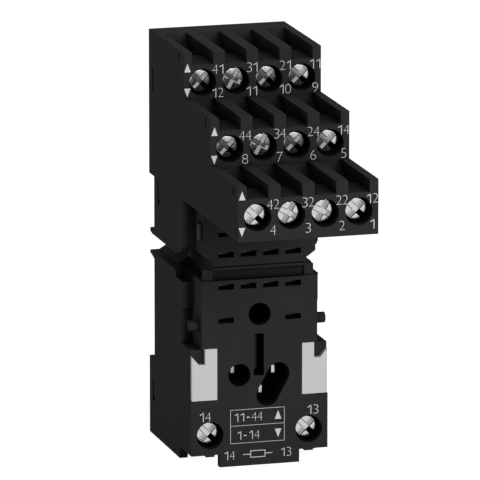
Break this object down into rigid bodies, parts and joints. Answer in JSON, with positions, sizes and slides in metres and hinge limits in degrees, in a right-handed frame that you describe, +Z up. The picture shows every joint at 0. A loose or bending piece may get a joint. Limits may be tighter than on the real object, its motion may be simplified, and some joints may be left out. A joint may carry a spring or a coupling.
{
  "type": "relay socket",
  "caption": "Tiered screw-terminal socket that holds a plug-in relay and clips onto a mounting rail.",
  "frame": {"origin": "on the face that seats on the rail, at mid-width and at the height of the rail's centre line", "axes": "+Z up along the socket's height, +Y towards the rail behind, -Y towards the relay and the screws, +X to the right as seen from the front"},
  "size_m": [0.027, 0.0623, 0.0797],
  "materials": {
    "black_moulding": "black glass-filled moulding, fine matt",
    "marking_plate": "light grey, plain",
    "plated_steel": "zinc plated",
    "spring_steel": "bright strip",
    "contact_metal": "tinned copper alloy"
  },
  "bodies": {
    "socket": {"housing": "black_moulding", "rear_cover": "black_moulding", "label_left": "marking_plate", "label_right": "marking_plate", "module_contact": "contact_metal", "clip_spring": "spring_steel", "strip_41": "contact_metal", "strip_31": "contact_metal", "strip_21": "contact_metal", "strip_11": "contact_metal", "strip_44": "contact_metal", "strip_34": "contact_metal", "strip_24": "contact_metal", "strip_14": "contact_metal", "strip_42": "contact_metal", "strip_32": "contact_metal", "strip_22": "contact_metal", "strip_12": "contact_metal", "strip_a2": "contact_metal", "strip_a1": "contact_metal"},
    "clip": {"rail_clip": "black_moulding"},
    "screw_41": {"screw_41": "plated_steel"},
    "cage_41": {"cage_41": "plated_steel"},
    "screw_31": {"screw_31": "plated_steel"},
    "cage_31": {"cage_31": "plated_steel"},
    "screw_21": {"screw_21": "plated_steel"},
    "cage_21": {"cage_21": "plated_steel"},
    "screw_11": {"screw_11": "plated_steel"},
    "cage_11": {"cage_11": "plated_steel"},
    "screw_44": {"screw_44": "plated_steel"},
    "cage_44": {"cage_44": "plated_steel"},
    "screw_34": {"screw_34": "plated_steel"},
    "cage_34": {"cage_34": "plated_steel"},
    "screw_24": {"screw_24": "plated_steel"},
    "cage_24": {"cage_24": "plated_steel"},
    "screw_14": {"screw_14": "plated_steel"},
    "cage_14": {"cage_14": "plated_steel"},
    "screw_42": {"screw_42": "plated_steel"},
    "cage_42": {"cage_42": "plated_steel"},
    "screw_32": {"screw_32": "plated_steel"},
    "cage_32": {"cage_32": "plated_steel"},
    "screw_22": {"screw_22": "plated_steel"},
    "cage_22": {"cage_22": "plated_steel"},
    "screw_12": {"screw_12": "plated_steel"},
    "cage_12": {"cage_12": "plated_steel"},
    "screw_a2": {"screw_a2": "plated_steel"},
    "cage_a2": {"cage_a2": "plated_steel"},
    "screw_a1": {"screw_a1": "plated_steel"},
    "cage_a1": {"cage_a1": "plated_steel"}
  },
  "joints": [
    {"name": "clip_slide", "type": "slide", "parent": "socket", "child": "clip", "axis": [0, 0, -1], "range_m": [0, 0.003], "stiffness_N_per_m": 1200, "springref_m": -0.002, "deforming": ["clip_spring"]},
    {"name": "screw_41_turn", "type": "hinge", "parent": "socket", "child": "screw_41", "pos_m": [-0.00975, -0.0192, 0.0399], "axis": [0, 1, 0], "range_deg": [0, 2880]},
    {"name": "cage_41_slide", "type": "slide", "parent": "socket", "child": "cage_41", "axis": [0, -1, 0], "range_m": [0, 0.004]},
    {"name": "screw_31_turn", "type": "hinge", "parent": "socket", "child": "screw_31", "pos_m": [-0.00325, -0.0192, 0.0399], "axis": [0, 1, 0], "range_deg": [0, 2880]},
    {"name": "cage_31_slide", "type": "slide", "parent": "socket", "child": "cage_31", "axis": [0, -1, 0], "range_m": [0, 0.004]},
    {"name": "screw_21_turn", "type": "hinge", "parent": "socket", "child": "screw_21", "pos_m": [0.00325, -0.0192, 0.0399], "axis": [0, 1, 0], "range_deg": [0, 2880]},
    {"name": "cage_21_slide", "type": "slide", "parent": "socket", "child": "cage_21", "axis": [0, -1, 0], "range_m": [0, 0.004]},
    {"name": "screw_11_turn", "type": "hinge", "parent": "socket", "child": "screw_11", "pos_m": [0.00975, -0.0192, 0.0399], "axis": [0, 1, 0], "range_deg": [0, 2880]},
    {"name": "cage_11_slide", "type": "slide", "parent": "socket", "child": "cage_11", "axis": [0, -1, 0], "range_m": [0, 0.004]},
    {"name": "screw_44_turn", "type": "hinge", "parent": "socket", "child": "screw_44", "pos_m": [-0.00975, -0.03788, 0.031], "axis": [0, 1, 0], "range_deg": [0, 2880]},
    {"name": "cage_44_slide", "type": "slide", "parent": "socket", "child": "cage_44", "axis": [0, -1, 0], "range_m": [0, 0.004]},
    {"name": "screw_34_turn", "type": "hinge", "parent": "socket", "child": "screw_34", "pos_m": [-0.00325, -0.03788, 0.031], "axis": [0, 1, 0], "range_deg": [0, 2880]},
    {"name": "cage_34_slide", "type": "slide", "parent": "socket", "child": "cage_34", "axis": [0, -1, 0], "range_m": [0, 0.004]},
    {"name": "screw_24_turn", "type": "hinge", "parent": "socket", "child": "screw_24", "pos_m": [0.00325, -0.03788, 0.031], "axis": [0, 1, 0], "range_deg": [0, 2880]},
    {"name": "cage_24_slide", "type": "slide", "parent": "socket", "child": "cage_24", "axis": [0, -1, 0], "range_m": [0, 0.004]},
    {"name": "screw_14_turn", "type": "hinge", "parent": "socket", "child": "screw_14", "pos_m": [0.00975, -0.03788, 0.031], "axis": [0, 1, 0], "range_deg": [0, 2880]},
    {"name": "cage_14_slide", "type": "slide", "parent": "socket", "child": "cage_14", "axis": [0, -1, 0], "range_m": [0, 0.004]},
    {"name": "screw_42_turn", "type": "hinge", "parent": "socket", "child": "screw_42", "pos_m": [-0.00975, -0.05656, 0.02195], "axis": [0, 1, 0], "range_deg": [0, 2880]},
    {"name": "cage_42_slide", "type": "slide", "parent": "socket", "child": "cage_42", "axis": [0, -1, 0], "range_m": [0, 0.004]},
    {"name": "screw_32_turn", "type": "hinge", "parent": "socket", "child": "screw_32", "pos_m": [-0.00325, -0.05656, 0.02195], "axis": [0, 1, 0], "range_deg": [0, 2880]},
    {"name": "cage_32_slide", "type": "slide", "parent": "socket", "child": "cage_32", "axis": [0, -1, 0], "range_m": [0, 0.004]},
    {"name": "screw_22_turn", "type": "hinge", "parent": "socket", "child": "screw_22", "pos_m": [0.00325, -0.05656, 0.02195], "axis": [0, 1, 0], "range_deg": [0, 2880]},
    {"name": "cage_22_slide", "type": "slide", "parent": "socket", "child": "cage_22", "axis": [0, -1, 0], "range_m": [0, 0.004]},
    {"name": "screw_12_turn", "type": "hinge", "parent": "socket", "child": "screw_12", "pos_m": [0.00975, -0.05656, 0.02195], "axis": [0, 1, 0], "range_deg": [0, 2880]},
    {"name": "cage_12_slide", "type": "slide", "parent": "socket", "child": "cage_12", "axis": [0, -1, 0], "range_m": [0, 0.004]},
    {"name": "screw_a2_turn", "type": "hinge", "parent": "socket", "child": "screw_a2", "pos_m": [-0.00975, -0.0242, -0.02755], "axis": [0, 1, 0], "range_deg": [0, 2880]},
    {"name": "cage_a2_slide", "type": "slide", "parent": "socket", "child": "cage_a2", "axis": [0, -1, 0], "range_m": [0, 0.004]},
    {"name": "screw_a1_turn", "type": "hinge", "parent": "socket", "child": "screw_a1", "pos_m": [0.00975, -0.0242, -0.02755], "axis": [0, 1, 0], "range_deg": [0, 2880]},
    {"name": "cage_a1_slide", "type": "slide", "parent": "socket", "child": "cage_a1", "axis": [0, -1, 0], "range_m": [0, 0.004]}
  ],
  "couplings": [
    {"joint": "screw_41_turn", "follows": "cage_41_slide", "rad_per_m": 12566},
    {"joint": "screw_31_turn", "follows": "cage_31_slide", "rad_per_m": 12566},
    {"joint": "screw_21_turn", "follows": "cage_21_slide", "rad_per_m": 12566},
    {"joint": "screw_11_turn", "follows": "cage_11_slide", "rad_per_m": 12566},
    {"joint": "screw_44_turn", "follows": "cage_44_slide", "rad_per_m": 12566},
    {"joint": "screw_34_turn", "follows": "cage_34_slide", "rad_per_m": 12566},
    {"joint": "screw_24_turn", "follows": "cage_24_slide", "rad_per_m": 12566},
    {"joint": "screw_14_turn", "follows": "cage_14_slide", "rad_per_m": 12566},
    {"joint": "screw_42_turn", "follows": "cage_42_slide", "rad_per_m": 12566},
    {"joint": "screw_32_turn", "follows": "cage_32_slide", "rad_per_m": 12566},
    {"joint": "screw_22_turn", "follows": "cage_22_slide", "rad_per_m": 12566},
    {"joint": "screw_12_turn", "follows": "cage_12_slide", "rad_per_m": 12566},
    {"joint": "screw_a2_turn", "follows": "cage_a2_slide", "rad_per_m": 12566},
    {"joint": "screw_a1_turn", "follows": "cage_a1_slide", "rad_per_m": 12566}
  ]
}
